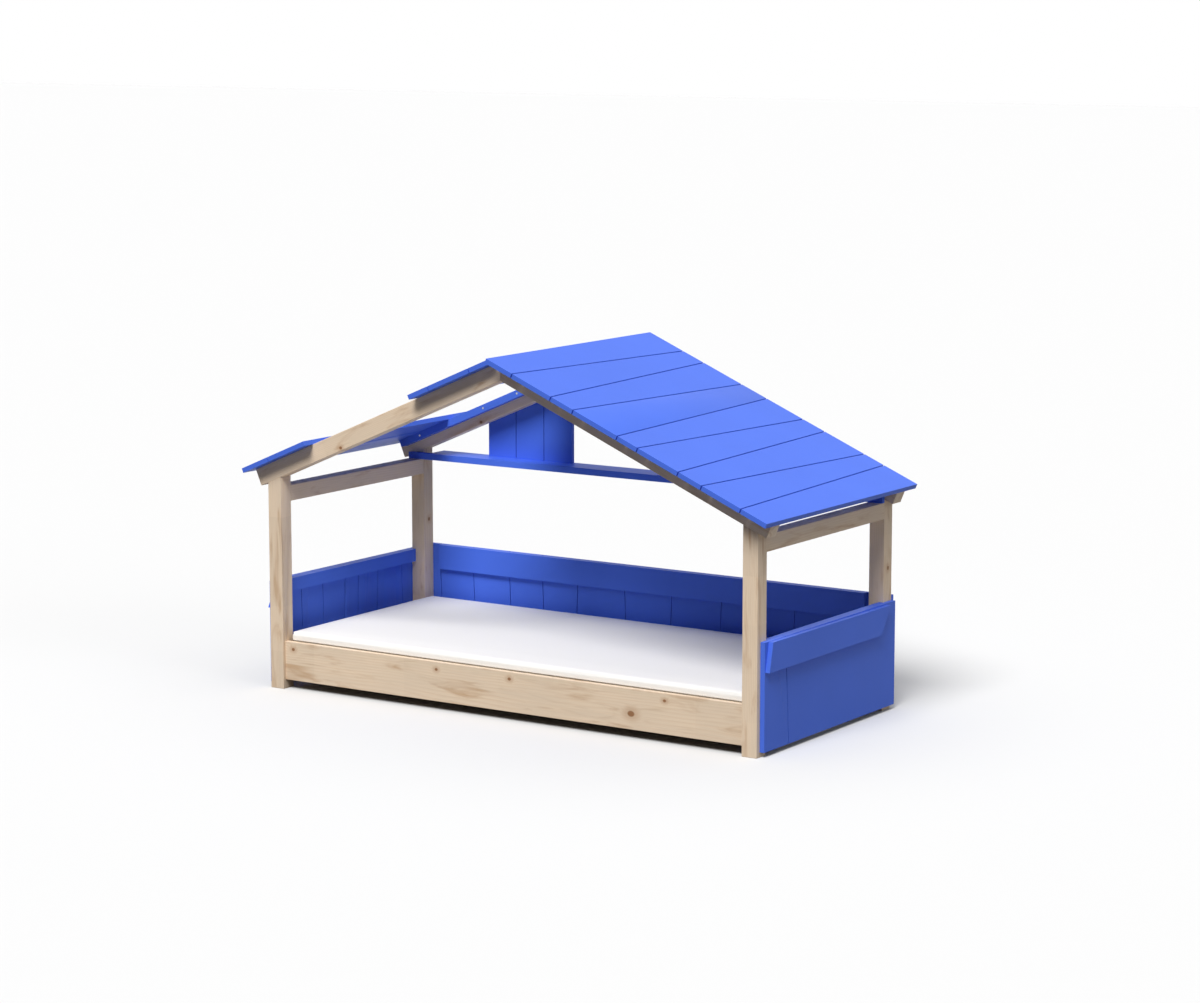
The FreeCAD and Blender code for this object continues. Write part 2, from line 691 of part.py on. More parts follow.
def build_brackets():
    """Steel angle brackets that hold the bed rails to the posts, with their screws."""
    foot = Z_AXIS * (slat_top + value("dims.bracket_gap"))
    plate = value("dims.bracket_plate")
    middle = value("dims.bracket + dims.bracket_plate") / 2
    length = value("dims.bracket_plate + dims.screw_bite")
    brackets = []
    screws = []
    for corner, along, away in rail_corners():
        legs = bracket_leg(corner + foot, along, away).fuse(bracket_leg(corner + foot, away, along))
        brackets.append(legs.removeSplitter())
        for share in (0.25, 0.75):
            base = corner + foot + Z_AXIS * value("dims.bracket_height") * share
            screws.append(screw(base + along * middle + away * plate, away * -1, length))
            screws.append(screw(base + away * middle + along * plate, along * -1, length))
    feature = doc.addObject("Part::Feature", "corner_brackets_blank")
    feature.Shape = Part.makeCompound(brackets)
    node("corner_brackets", feature)
    return fasteners("bracket_screws", screws)


def build_rail_dowels():
    """Dowels between the rails, the end beams and the posts."""
    placed = []
    size = (value("dims.rail_dowel"), value("dims.rail_dowel_length"))
    for side in SIDES.values():
        for share in (0.2, 0.8):
            height = rail_bottom + value("dims.rail_height") * share
            for across in (front_rail_back - rail / 2, back_rail_front + rail / 2):
                placed.append(peg(FreeCAD.Vector(side * inner_end, across, height), X_AXIS, *size))
            for across in (front_inner, back_inner):
                placed.append(peg(FreeCAD.Vector(side * (half_length - rail / 2), across, height), Y_AXIS, *size))
        for share in (1 / 3, 2 / 3):
            along = side * (half_length - post * share)
            height = (beam_bottom + beam_top) / 2
            for across in (front_inner, back_inner):
                placed.append(peg(FreeCAD.Vector(along, across, height), Y_AXIS, *size))
    return fasteners("rail_dowels", placed)


def build_frame_dowels():
    """Dowels from the posts up into the rafters and across the ridge joints."""
    placed = []
    size = (value("dims.frame_dowel"), value("dims.frame_dowel_length"))
    seat = value(RAFTER_DEPTH)
    over_post = (half_length - post / 2 + seat * math.sin(pitch)) / math.cos(pitch)
    reach = size[1] / 4
    middle = value(roof_plane(reach, "dims.roof_board + dims.rafter / 2"))
    apart = value("dims.rafter") / 5.5
    for across in (front_face + post / 2, back_face - post / 2):
        for side in SIDES.values():
            placed.append(peg(on_slope(side, over_post, across, seat), into_slope(side), *size))
        for height in (middle - apart, middle + apart):
            placed.append(peg(FreeCAD.Vector(0, across, height), X_AXIS, *size))
    return fasteners("frame_dowels", placed)


def build_roof_screws():
    """Screws up through the roof battens into the boards, out of sight from above."""
    placed = []
    depth = value("dims.roof_board + dims.roof_batten")
    length = value("dims.roof_batten + dims.screw_bite")
    left = spans(LEFT_ROOF, ROOF_SLOPE)
    window = LEFT_ROOF.index("roof_window")
    boards = {1: spans(RIGHT_ROOF, ROOF_SLOPE), -1: left[:window] + left[window + 1:]}
    for side, rows in boards.items():
        for low, high in rows:
            for along in spread(max(low, value("dims.roof_batten_top")), min(high, value(BATTEN_REACH))):
                for row in ROWS:
                    head = on_slope(side, along, batten_middle(row), depth)
                    placed.append(screw(head, into_slope(side) * -1, length))
    return fasteners("roof_screws", placed)


def build_batten_screws():
    """Screws sideways through the roof battens into the rafters, each between two boards' screws."""
    placed = []
    depth = value("dims.roof_board + dims.roof_batten / 2")
    length = value("dims.roof_batten_width + dims.frame_bite")
    right = spans(RIGHT_ROOF, ROOF_SLOPE)
    left = spans(LEFT_ROOF, ROOF_SLOPE)
    window = left[LEFT_ROOF.index("roof_window")]
    stations = {
        1: (right[1][0], right[3][0], right[6][0], right[8][0]),
        -1: (left[1][0], window[0] + (window[1] - window[0]) / 3, window[1] - (window[1] - window[0]) / 3, left[5][0]),
    }
    for side, places in stations.items():
        for along in places:
            for row, outwards in ROWS.items():
                inner_face = batten_middle(row) - outwards * value("dims.roof_batten_width") / 2
                placed.append(screw(on_slope(side, along, inner_face, depth), Y_AXIS * outwards, length))
    return fasteners("batten_screws", placed)


def end_panel_screws(length, rail_level):
    """Screws of the end panels: from outside into posts and battens, from inside through the rails."""
    placed = []
    batten_level = value("dims.end_panel_top - dims.end_batten / 2")
    start = front_face + value("dims.end_panel_setback")
    margin = value("dims.bracket + dims.screw_head")
    for side, aliases in ((-1, LEFT_END), (1, RIGHT_END)):
        for low, high in spans(aliases, END_PANEL_LENGTH):
            for across in spread(start + low, start + high):
                outside = FreeCAD.Vector(side * (half_length + panel_board), across, batten_level)
                placed.append(screw(outside, X_AXIS * -side, length))
                if front_inner + margin < across < back_inner - margin:
                    inside = FreeCAD.Vector(side * (half_length - rail), across, rail_level)
                    placed.append(screw(inside, X_AXIS * side, length))
    return placed


def back_panel_screws(length, rail_level):
    """Screws of the back panel, from behind into posts, batten and rail."""
    placed = []
    batten_level = value("dims.back_panel_top - dims.back_batten / 2")
    head = value("dims.screw_head")
    batten_end = inner_end - value("dims.back_batten_inset") - head
    for low, high in spans(BACK_PANEL, BED_LENGTH):
        for along in spread(low - half_length, high - half_length):
            if abs(along) > inner_end + head or abs(along) < batten_end:
                for level in (batten_level, rail_level):
                    behind = FreeCAD.Vector(along, back_face + panel_board, level)
                    placed.append(screw(behind, Y_AXIS * -1, length))
    return placed


def gable_screws(length):
    """Screws of the gable boards, from behind into the back rafter."""
    placed = []
    width = value("dims.gable_board_width")
    for board in range(int(value("dims.gable_board_count"))):
        start = value("dims.gable_start") + board * width - half_length
        for along in spread(start, start + width - value("dims.panel_seam")):
            height = value(roof_plane(abs(along), "dims.roof_board + dims.rafter / 2"))
            placed.append(screw(FreeCAD.Vector(along, back_face + panel_board, height), Y_AXIS * -1, length))
    return placed


def build_panel_screws():
    """Screws that hold the boards of the end panels, the back panel and the gable."""
    length = value("dims.panel_board + dims.screw_bite")
    rail_level = value("dims.rail_bottom + dims.rail_height / 3")
    placed = end_panel_screws(length, rail_level)
    placed += back_panel_screws(length, rail_level)
    placed += gable_screws(length)
    return fasteners("panel_screws", placed)


def build_apron_screws():
    """Screws from inside the bed through batten and boards into the aprons."""
    placed = []
    level = value("dims.end_panel_top - dims.end_batten * 3 / 4")
    length = value("2 * dims.panel_board + dims.screw_bite")
    for side in SIDES.values():
        for share in (0.1, 0.37, 0.63, 0.9):
            head = FreeCAD.Vector(side * (half_length - panel_board), front_face + share * bed_depth, level)
            placed.append(screw(head, X_AXIS * side, length))
    return fasteners("apron_screws", placed)


def build_cleat_screws():
    """Screws through the cleats into the bed rails, midway between slats."""
    placed = []
    length = value("dims.cleat + dims.screw_bite")
    starts = slat_starts()
    level = cleat_bottom + value("dims.cleat") / 2
    faces = {-1: front_rail_back + value("dims.cleat"), 1: back_rail_front - value("dims.cleat")}
    for first, second in list(zip(starts[:-1], starts[1:]))[::2]:
        along = (first + value("dims.slat_width") + second) / 2
        for outwards, face in faces.items():
            placed.append(screw(FreeCAD.Vector(along, face, level), Y_AXIS * outwards, length))
    return fasteners("cleat_screws", placed)


def build_sill_screws():
    """Screws down through the sill into the end beams and up through it into the gable boards."""
    placed = []
    length = value("dims.sill + dims.screw_bite")
    for side in SIDES.values():
        head = FreeCAD.Vector(side * (half_length - post / 2), back_inner - value("dims.sill_lip") / 2, sill_top)
        placed.append(screw(head, Z_AXIS * -1, length))
    for board in range(int(value("dims.gable_board_count"))):
        middle = value(f"dims.gable_start + {board + 0.5} * dims.gable_board_width") - half_length
        head = FreeCAD.Vector(middle, back_face + panel_board / 2, beam_top)
        placed.append(screw(head, Z_AXIS, length))
    return fasteners("sill_screws", placed)


def build_slat_screws():
    """Screws down through both ends of each slat into the cleats."""
    placed = []
    length = value("dims.slat + dims.screw_bite")
    half_cleat = value("dims.cleat") / 2
    for start in slat_starts():
        along = start + value("dims.slat_width") / 2
        for across in (front_rail_back + half_cleat, back_rail_front - half_cleat):
            placed.append(screw(FreeCAD.Vector(along, across, slat_top), Z_AXIS * -1, length))
    return fasteners("slat_screws", placed)


def bored(label, blank):
    """The blank with the bores of the fasteners that pass through it, under the node's name."""
    reach = blank.Shape.BoundBox
    near = [bore for bore in bores if reach.intersect(bore.BoundBox)]
    if not near:
        blank.Label = label
        return blank
    tool = doc.addObject("Part::Feature", f"{label}_bores")
    tool.Shape = Part.makeCompound(near)
    cut = doc.addObject("Part::Cut", f"{label}_bored")
    cut.Base = blank
    cut.Tool = tool
    cut.Label = label
    return cut


def check(pieces):
    """Stop if any object of the document failed or any node's shape is empty or invalid."""
    for item in doc.Objects:
        if "Invalid" in item.State or "Error" in item.State:
            raise RuntimeError(f"{item.Name} did not compute")
    for piece in pieces:
        if piece.Shape.isNull() or not piece.Shape.isValid() or not piece.Shape.Solids:
            raise RuntimeError(f"{piece.Label} has no valid solid")


build_posts()
build_rafters()
build_frame_rails()
build_slats()
build_mattress()
build_roof()
build_roof_battens()
build_back_gable()
build_end_panels()
build_back_panel()
pieces = [
    build_brackets(),
    build_rail_dowels(),
    build_frame_dowels(),
    build_roof_screws(),
    build_batten_screws(),
    build_panel_screws(),
    build_apron_screws(),
    build_cleat_screws(),
    build_sill_screws(),
    build_slat_screws(),
]
doc.recompute()
pieces += [bored(label, blank) for label, blank in blanks]
doc.recompute()
check(pieces)

os.makedirs("parts", exist_ok=True)
for piece in pieces:
    piece.Shape.exportStep(f"parts/{piece.Label}.step")
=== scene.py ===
import math

import bpy
import numpy as np
from bpy.props import FloatProperty, FloatVectorProperty, PointerProperty
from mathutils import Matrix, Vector


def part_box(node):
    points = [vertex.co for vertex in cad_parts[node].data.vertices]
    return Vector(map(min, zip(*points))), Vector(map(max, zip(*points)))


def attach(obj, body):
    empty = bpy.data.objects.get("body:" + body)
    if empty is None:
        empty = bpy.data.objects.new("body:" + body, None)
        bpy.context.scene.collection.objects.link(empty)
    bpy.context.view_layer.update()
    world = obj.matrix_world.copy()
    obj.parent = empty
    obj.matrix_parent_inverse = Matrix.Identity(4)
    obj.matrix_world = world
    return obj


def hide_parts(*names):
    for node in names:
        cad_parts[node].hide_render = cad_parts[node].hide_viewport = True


bl_info = {
    "name": "House Frame Bed",
    "version": (1, 0, 0),
    "blender": (4, 5, 0),
    "location": "View3D > Sidebar > House Bed",
    "description": "Dresses the packed house frame bed in wood, paint and a mattress, and sets up a studio",
    "category": "Object",
}

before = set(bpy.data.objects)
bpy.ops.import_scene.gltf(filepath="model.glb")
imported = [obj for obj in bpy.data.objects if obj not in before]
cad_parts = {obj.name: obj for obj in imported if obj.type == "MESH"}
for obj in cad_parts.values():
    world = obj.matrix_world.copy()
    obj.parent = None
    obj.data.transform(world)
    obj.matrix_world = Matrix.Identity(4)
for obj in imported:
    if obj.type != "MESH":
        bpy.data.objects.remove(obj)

PITCH = math.radians(23)
QUARTER_TURN = math.radians(90)
MILLIMETRE = 0.001

# Width of the eased edges on each material, in metres.
PINE_EDGE = 0.0015
PAINTED_EDGE = 0.0007
STEEL_EDGE = 0.0004

# Knots that show on the faces that are seen: their place and their half sizes, in metres. A knot is the end
# of a branch, so it goes through the whole piece along the axis whose half size is THROUGH.
THROUGH = 10.0
SEEN_KNOTS = {
    "front_bed_rail": (
        ((-0.966, 0.0, 0.154), (0.0075, THROUGH, 0.0060)),
        ((-0.301, 0.0, 0.154), (0.0070, THROUGH, 0.0055)),
        ((0.024, 0.0, 0.156), (0.0075, THROUGH, 0.0060)),
        ((0.545, 0.0, 0.092), (0.0150, THROUGH, 0.0110)),
        ((0.684, 0.0, 0.155), (0.0070, THROUGH, 0.0055)),
    ),
    "front_left_rafter": (((-0.720, 0.0, 0.940), (0.0070, THROUGH, 0.0060)),),
    "back_left_rafter": (((-0.725, 0.0, 0.937), (0.0070, THROUGH, 0.0060)),),
    "back_left_post": (((0.0, 0.482, 0.524), (THROUGH, 0.0065, 0.0080)),),
    "back_right_post": (((0.0, 0.482, 0.527), (THROUGH, 0.0065, 0.0080)),),
}
CLEAR_PIECES = (
    "front_left_post", "front_right_post", "front_right_rafter", "back_right_rafter",
    "left_end_beam", "right_end_beam",
)
# All other pine pieces have small knots at random: their distance apart and their half sizes, in metres.
KNOT_SPACING = 0.70
SMALLEST_KNOT = 0.0035
LARGEST_KNOT = 0.0060
# Distance to the nearest knot on a clear piece, in knot radii.
NO_KNOT = 99.0

# Pine pieces by the way that their grain runs, and the length between two finger joints, in metres, which is
# shorter in the posts.
POSTS = ("front_left_post", "front_right_post", "back_left_post", "back_right_post")
LEFT_SLOPE = ("front_left_rafter", "back_left_rafter")
RIGHT_SLOPE = ("front_right_rafter", "back_right_rafter")
ALONG_DEPTH = ("left_end_beam", "right_end_beam", "left_end_rail", "right_end_rail", "bed_slats")
ALONG_LENGTH = ("front_bed_rail", "back_bed_rail", "front_slat_cleat", "back_slat_cleat")
POST_JOINT = 0.17
PLANK_JOINT = 0.42

RIGHT_ROOF = tuple(f"right_roof_board_{number}" for number in range(1, 10))
LEFT_ROOF = tuple(f"left_roof_board_{number}" for number in range(1, 6))
GABLE = ("gable_board_1", "gable_board_2", "gable_board_3", "back_sill")
PANELS = (
    "left_panel_boards", "right_panel_boards", "back_panel_boards",
    "left_panel_batten", "right_panel_batten", "back_panel_batten",
    "left_panel_apron", "right_panel_apron",
)
ROOF_BATTENS = (
    "front_left_roof_batten", "back_left_roof_batten",
    "front_right_roof_batten", "back_right_roof_batten",
)
PAINTED_SCREWS = ("panel_screws", "apron_screws")
SCREWS = ("bracket_screws", "roof_screws", "batten_screws", "cleat_screws", "sill_screws", "slat_screws")
DOWELS = ("rail_dowels", "frame_dowels")

# The mattress: cells along its length, depth and height, and how much of each point's place is kept even and
# how much follows a sine, which draws the points closer towards the sides.
MATTRESS_CELLS = (120, 54, 50)
EVEN_SHARE = 0.4
SINE_SHARE = 0.6
# The underside's edges are rounded less than the top's, and the weight on the slats keeps it from swelling.
UNDERSIDE_ROUNDING = 0.6
UNDERSIDE_SWELL = 0.15
FILL_FRAMES = 20
FILL_PRESSURE = 4.0
# How far in from a side its crease and bulge fade, in metres, and the height over the rail under which the
# bulge is drawn down on to it, in millimetres.
SIDE_REACH = 10 * MILLIMETRE
SINK_HEIGHT = 3.0

# The studio: half the floor's width, where the lamps shine from, and the photograph's camera.
FLOOR_REACH = 60.0
BROAD_LAMP_PLACE = (0.6, -3.2, 4.1)
SIDE_LAMP_PLACE = (4.5, -0.6, 1.8)
CAMERA_PLACE = (6.62158, -9.89165, 2.60326)
CAMERA_YAW = -0.581
CAMERA_DOWN = 0.155
CAMERA_LENS = 98.03
CAMERA_FRAME = 36.0
CAMERA_REACH = 200.0


def linear(colour):
    """The linear colour of an sRGB hex value."""
    channels = [int(colour[place:place + 2], 16) / 255 for place in (0, 2, 4)]
    return [c / 12.92 if c <= 0.04045 else ((c + 0.055) / 1.055) ** 2.4 for c in channels] + [1.0]


class MattressSettings(bpy.types.PropertyGroup):
    crown: FloatProperty(
        name="Crown", description="Rise of the top at its middle", default=0.003, unit="LENGTH")
    edge: FloatProperty(
        name="Edge", description="Rounding of the long and short edges", default=0.014, unit="LENGTH")
    corner: FloatProperty(
        name="Corner", description="Rounding of the four upright corners", default=0.016, unit="LENGTH")
    inset: FloatProperty(
        name="Inset", description="Room left for the cover to swell into", default=0.002, unit="LENGTH")
    swell: FloatProperty(
        name="Swell", description="Furthest that the cover moves as it fills", default=0.004, unit="LENGTH")
    overhang: FloatProperty(
        name="Overhang", description="How far the front bulges over the bed rail",
        default=0.012, unit="LENGTH")
    crease_drop: FloatProperty(
        name="Crease drop", description="Top edge down to the crease round the side",
        default=0.013, unit="LENGTH")
    crease_width: FloatProperty(
        name="Crease width", description="Half width of the crease", default=0.0040, unit="LENGTH")
    crease_depth: FloatProperty(
        name="Crease depth", description="How far the crease goes in", default=0.0030, unit="LENGTH")


class FinishSettings(bpy.types.PropertyGroup):
    pine: FloatVectorProperty(
        name="Pine", description="Pale wood between the growth rings", size=4, subtype="COLOR",
        default=linear("EFD9BF"))
    latewood: FloatVectorProperty(
        name="Latewood", description="Darker line that closes each growth ring", size=4, subtype="COLOR",
        default=linear("DCBB95"))
    figure: FloatVectorProperty(
        name="Figure", description="Brown flames in the grain", size=4, subtype="COLOR",
        default=linear("C39A70"))
    knot: FloatVectorProperty(
        name="Knot", description="Heart of a knot", size=4, subtype="COLOR", default=linear("8A5A33"))
    paint: FloatVectorProperty(
        name="Paint", description="Satin blue on the boards", size=4, subtype="COLOR",
        default=linear("4E73E3"))
    cover: FloatVectorProperty(
        name="Cover", description="Knitted mattress cover", size=4, subtype="COLOR",
        default=linear("F8F6F2"))
    ring: FloatProperty(
        name="Growth ring", description="Distance between growth rings, about twice that of real pine",
        default=0.0060, unit="LENGTH")


class StudioSettings(bpy.types.PropertyGroup):
    key: FloatProperty(
        name="Key lamp", description="Strength of the broad lamp high in front of the bed", default=2.8)
    side: FloatProperty(
        name="Side lamp", description="Strength of the weak lamp from the right", default=0.42)
    spread: FloatProperty(
        name="Spread", description="Angle that each lamp fills, seen from the bed",
        default=math.radians(26), subtype="ANGLE")
    dome: FloatProperty(
        name="Overhead dome", description="Strength of the light from overhead", default=0.90)
    floor: FloatVectorProperty(
        name="Floor", description="Pale studio floor", size=4, subtype="COLOR", default=linear("E4E4E4"))
    bounce: FloatProperty(
        name="Bounce", description="Share of the light that the floor throws back on the bed",
        default=0.22, subtype="FACTOR")


def add(tree, kind, inputs=None, **settings):
    """A new node with its settings; each input is a value or the socket that it is linked from.

    An input is named by its name or its number. On a Map Range node, 1 and 2 are the range that the value
    comes from, and 3 and 4 are the range that it goes to.
    """
    made = tree.nodes.new(kind)
    for name, setting in settings.items():
        setattr(made, name, setting)
    for name, given in (inputs or {}).items():
        if isinstance(given, bpy.types.NodeSocket):
            tree.links.new(given, made.inputs[name])
        else:
            made.inputs[name].default_value = given
    return made


def blank_material(name):
    """A material that holds one shader, linked to its surface."""
    material = bpy.data.materials.new(name)
    material.use_nodes = True
    tree = material.node_tree
    tree.nodes.clear()
    shader = add(tree, "ShaderNodeBsdfPrincipled")
    add(tree, "ShaderNodeOutputMaterial", {"Surface": shader.outputs[0]})
    return material, tree, shader


def dress(node, material):
    """Puts the material on a CAD node."""
    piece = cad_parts[node]
    piece.data.materials.clear()
    piece.data.materials.append(material)
    return piece


def ease_edges(piece, width):
    """Live modifiers that join a CAD node's loose triangles, clear the flat faces and ease the edges."""
    weld = piece.modifiers.new("weld", "WELD")
    weld.merge_threshold = 1e-5
    flat = piece.modifiers.new("flat_faces", "DECIMATE")
    flat.decimate_type = "DISSOLVE"
    flat.angle_limit = math.radians(1)
    bevel = piece.modifiers.new("eased_edges", "BEVEL")
    bevel.width = width
    bevel.segments = 2
    bevel.limit_method = "ANGLE"
    bevel.angle_limit = math.radians(40)
    bevel.use_clamp_overlap = False
    bevel.harden_normals = False


def knot_field(tree, coordinates, knots):
    """Distance to the nearest knot, in knot radii.

    Each knot is a branch seen end on: its own axis is stretched so far that only the distance across counts.
    """
    nearest = None
    for centre, radii in knots:
        placed = add(tree, "ShaderNodeMapping",
                     {"Vector": coordinates, "Location": centre, "Scale": radii}, vector_type="TEXTURE")
        away = add(tree, "ShaderNodeVectorMath", {0: placed.outputs[0]}, operation="LENGTH").outputs["Value"]
        if nearest is not None:
            away = add(tree, "ShaderNodeMath", {0: nearest, 1: away}, operation="MINIMUM").outputs[0]
        nearest = away
    return nearest


def oiled_pine(name, turn, pith, knots, joint):
    """Planed pine with a clear oil, glued up from finger jointed lengths.

    Growth rings are shells round the pith, so a face along the grain shows long lines and an end shows arcs.
    The oil leaves a dull sheen and lets the fibres show; the rings fade in and out, bend round each knot and
    have brown flames over them here and there; each jointed length has a slightly different tone.
    """
    finish = bpy.context.scene.bed_finish
    material, tree, shader = blank_material(name)
    raw = add(tree, "ShaderNodeTexCoord").outputs["Object"]
    # Object coordinates turned so that X follows the grain and the pith is the X axis.
    grain = add(tree, "ShaderNodeMapping", {"Vector": raw, "Location": pith, "Rotation": turn}).outputs[0]
    knot = knot_field(tree, raw, knots) if knots else NO_KNOT

    # Slow wander of the stem, about 12 mm over a metre, from noise that is longer than it is wide.
    stem = add(tree, "ShaderNodeVectorMath", {0: grain, 1: (1.1, 5.0, 5.0)}, operation="MULTIPLY").outputs[0]
    wander = add(tree, "ShaderNodeTexNoise",
                 {"Vector": stem, "Scale": 1.0, "Detail": 2.0, "Roughness": 0.5}).outputs["Color"]
    swayed = add(tree, "ShaderNodeVectorMath", {0: wander, 1: (0.0, 0.030, 0.030), 2: grain},
                 operation="MULTIPLY_ADD").outputs[0]
    across = add(tree, "ShaderNodeVectorMath", {0: swayed, 1: (0.0, 1.0, 1.0)},
                 operation="MULTIPLY").outputs[0]
    radius = add(tree, "ShaderNodeVectorMath", {0: across}, operation="LENGTH").outputs["Value"]
    # A knot pushes the rings aside by 10 mm beside it and not at all from 4.5 of its radii away.
    push = add(tree, "ShaderNodeMapRange", {"Value": knot, 1: 0.6, 2: 4.5, 3: 0.010, 4: 0.0},
               interpolation_type="SMOOTHERSTEP").outputs[0]
    pushed = add(tree, "ShaderNodeMath", {0: radius, 1: push}, operation="ADD").outputs[0]
    ring = add(tree, "ShaderNodeMath", {0: pushed, 1: finish.ring}, operation="DIVIDE").outputs[0]
    phase = add(tree, "ShaderNodeMath", {0: ring}, operation="FRACT").outputs[0]
    # Each ring is palest a third of the way out and darkest near its outer end.
    late = add(tree, "ShaderNodeValToRGB", {"Fac": phase})
    ramp = late.color_ramp
    ramp.elements[0].position, ramp.elements[0].color = 0.0, (0.10, 0.10, 0.10, 1)
    ramp.elements[1].position, ramp.elements[1].color = 1.0, (0.10, 0.10, 0.10, 1)
    ramp.elements.new(0.35).color = (0.0, 0.0, 0.0, 1)
    ramp.elements.new(0.86).color = (1.0, 1.0, 1.0, 1)

    # Fibres 0.5 mm wide in the real wood, drawn 1.6 mm wide so that they show.
    thread = add(tree, "ShaderNodeVectorMath", {0: grain, 1: (9.0, 620.0, 620.0)},
                 operation="MULTIPLY").outputs[0]
    fibre = add(tree, "ShaderNodeTexNoise", {"Vector": thread, "Scale": 1.0, "Detail": 3.0}).outputs[0]
    # Jointed lengths, each with its own tone.
    along = add(tree, "ShaderNodeSeparateXYZ", {0: grain}).outputs[0]
    length = add(tree, "ShaderNodeMath", {0: along, 1: joint}, operation="DIVIDE").outputs[0]
    number = add(tree, "ShaderNodeMath", {0: length}, operation="FLOOR").outputs[0]
    tone = add(tree, "ShaderNodeTexWhiteNoise", {"W": number}, noise_dimensions="1D").outputs["Value"]
    # Clouds 300 mm long and 70 mm wide, in which the rings fade and the wood is lighter or darker.
    cloud = add(tree, "ShaderNodeTexNoise", {"Vector": stem, "Scale": 3.0, "Detail": 2.0}).outputs[0]
    fade = add(tree, "ShaderNodeMapRange", {"Value": cloud, 1: 0.35, 2: 0.65, 3: 0.05, 4: 0.38}).outputs[0]
    amount = add(tree, "ShaderNodeMath", {0: late.outputs[0], 1: fade}, operation="MULTIPLY").outputs[0]
    plain = add(tree, "ShaderNodeMix", {"Factor": amount, "A": finish.pine, "B": finish.latewood},
                data_type="RGBA").outputs["Result"]
    # Flames in cells 220 mm long and 38 mm wide, broken up along the fibres.
    patch = add(tree, "ShaderNodeVectorMath", {0: grain, 1: (4.5, 26.0, 26.0)},
                operation="MULTIPLY").outputs[0]
    flame = add(tree, "ShaderNodeTexNoise",
                {"Vector": patch, "Scale": 1.0, "Detail": 5.0, "Distortion": 0.8}).outputs[0]
    flame = add(tree, "ShaderNodeMapRange", {"Value": flame, 1: 0.50, 2: 0.78, 3: 0.0, 4: 0.70},
                interpolation_type="SMOOTHSTEP").outputs[0]
    wood = add(tree, "ShaderNodeMix", {"Factor": flame, "A": plain, "B": finish.figure},
               data_type="RGBA").outputs["Result"]
    streak = add(tree, "ShaderNodeMapRange", {"Value": fibre, 1: 0.3, 2: 0.7, 3: 0.94, 4: 1.04}).outputs[0]
    lengths = add(tree, "ShaderNodeMapRange", {"Value": tone, 3: 0.95, 4: 1.02}).outputs[0]
    clouds = add(tree, "ShaderNodeMapRange", {"Value": cloud, 1: 0.3, 2: 0.7, 3: 0.94, 4: 1.03}).outputs[0]
    shade = add(tree, "ShaderNodeMath", {0: streak, 1: lengths}, operation="MULTIPLY").outputs[0]
    shade = add(tree, "ShaderNodeMath", {0: shade, 1: clouds}, operation="MULTIPLY").outputs[0]
    shaded = add(tree, "ShaderNodeVectorMath", {0: wood, "Scale": shade}, operation="SCALE").outputs[0]
    # The knot: a brown heart with a soft rim, and a warm stain in the grain beside it.
    stain = add(tree, "ShaderNodeMapRange", {"Value": knot, 1: 1.0, 2: 3.6, 3: 0.34, 4: 0.0},
                interpolation_type="SMOOTHSTEP").outputs[0]
    warm = add(tree, "ShaderNodeMix", {"Factor": stain, "A": shaded, "B": linear("B07A46")},
               data_type="RGBA").outputs["Result"]
    heart = add(tree, "ShaderNodeMapRange", {"Value": knot, 1: 0.75, 2: 1.15, 3: 0.85, 4: 0.0},
                interpolation_type="SMOOTHSTEP").outputs[0]
    knotted = add(tree, "ShaderNodeMix", {"Factor": heart, "A": warm, "B": finish.knot},
                  data_type="RGBA").outputs["Result"]
    tree.links.new(knotted, shader.inputs["Base Color"])
    dull = add(tree, "ShaderNodeMapRange", {"Value": fibre, 3: 0.46, 4: 0.62}).outputs[0]
    tree.links.new(dull, shader.inputs["Roughness"])
    relief = add(tree, "ShaderNodeMath", {0: fibre, 1: amount, 2: 0.6}, operation="MULTIPLY_ADD").outputs[0]
    bump = add(tree, "ShaderNodeBump", {"Height": relief, "Strength": 0.25, "Distance": 0.15 * MILLIMETRE})
    tree.links.new(bump.outputs[0], shader.inputs["Normal"])
    shader.inputs["Specular IOR Level"].default_value = 0.22
    return material


def satin_paint():
    """Water based satin paint rolled on planed pine boards.

    It hides the wood's colour and its grain. The roller leaves a fine stipple, a soft wide sheen and a
    slightly uneven tone.
    """
    finish = bpy.context.scene.bed_finish
    material, tree, shader = blank_material("satin_blue_paint")
    raw = add(tree, "ShaderNodeTexCoord").outputs["Object"]
    # Roller stipple 1.2 mm apart, drawn 3 mm apart so that it shows.
    stipple = add(tree, "ShaderNodeTexNoise", {"Vector": raw, "Scale": 330.0, "Detail": 2.0}).outputs[0]
    # Slight clouds in the coat, 290 mm across.
    cloud = add(tree, "ShaderNodeTexNoise", {"Vector": raw, "Scale": 3.5, "Detail": 3.0}).outputs[0]
    shade = add(tree, "ShaderNodeMapRange", {"Value": cloud, 1: 0.3, 2: 0.7, 3: 0.97, 4: 1.02}).outputs[0]
    colour = add(tree, "ShaderNodeVectorMath", {0: finish.paint[:3], "Scale": shade},
                 operation="SCALE").outputs[0]
    tree.links.new(colour, shader.inputs["Base Color"])
    sheen = add(tree, "ShaderNodeMapRange", {"Value": stipple, 3: 0.40, 4: 0.52}).outputs[0]
    tree.links.new(sheen, shader.inputs["Roughness"])
    bump = add(tree, "ShaderNodeBump", {"Height": stipple, "Strength": 0.20, "Distance": 0.08 * MILLIMETRE})
    tree.links.new(bump.outputs[0], shader.inputs["Normal"])
    shader.inputs["Specular IOR Level"].default_value = 0.12
    return material


